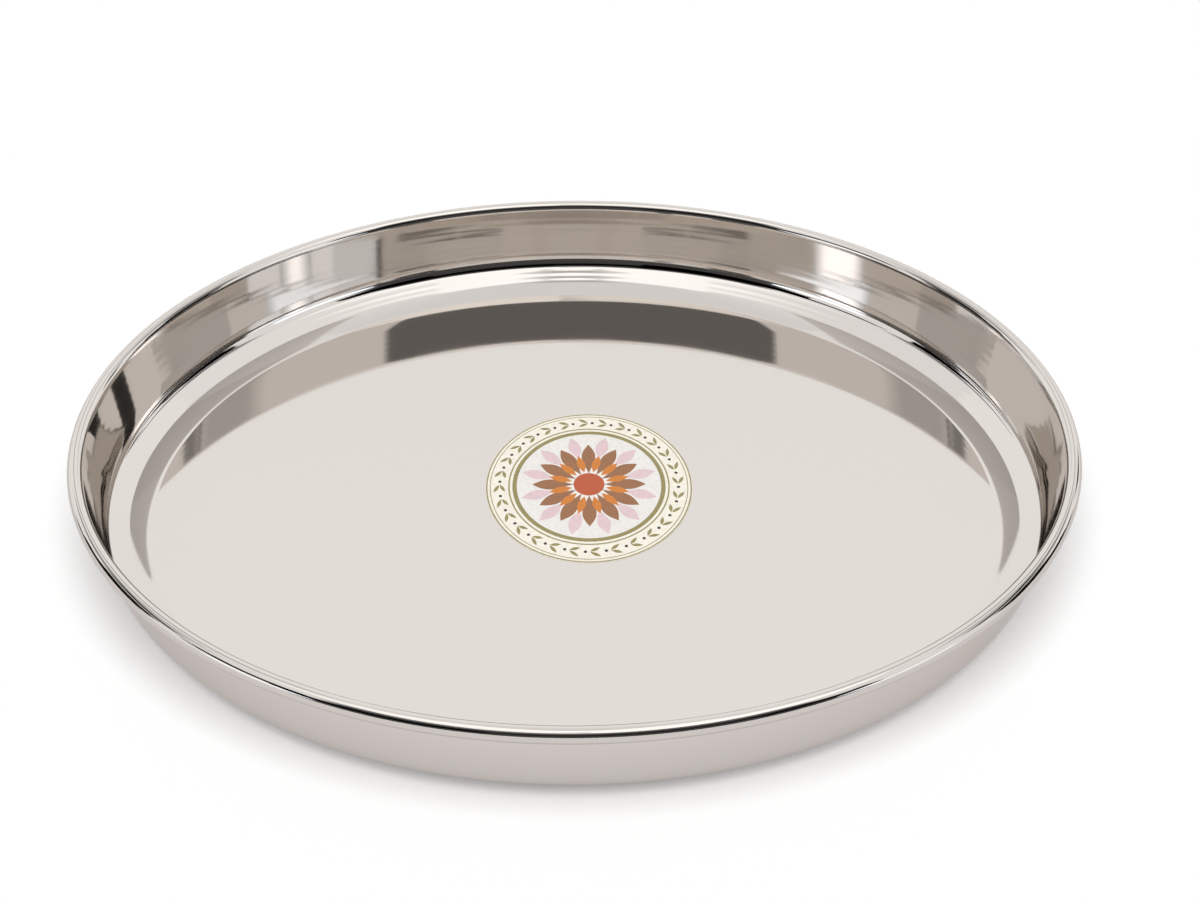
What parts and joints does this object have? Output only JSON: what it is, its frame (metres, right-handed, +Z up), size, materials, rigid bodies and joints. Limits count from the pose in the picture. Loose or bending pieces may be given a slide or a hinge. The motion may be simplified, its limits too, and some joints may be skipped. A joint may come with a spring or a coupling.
{
  "type": "thali plate",
  "caption": "Round stainless steel thali plate with a flat floor, a sloping shoulder, a leaning wall, a hollow rolled rim and an oval paper label.",
  "frame": {"origin": "centre of the plate's round underside, on the surface that it stands on", "axes": "+Z up along the plate's axis, +Y towards the back of the plate as the label is read, +X to the right"},
  "size_m": [0.2666, 0.2666, 0.0265],
  "materials": {
    "polished_steel": "mirror polished",
    "label_print": "semi-gloss print",
    "label_glue": "clear adhesive"
  },
  "bodies": {
    "root": {"plate_body": "polished_steel", "label_film": "label_print", "label_adhesive": "label_glue"}
  },
  "joints": []
}
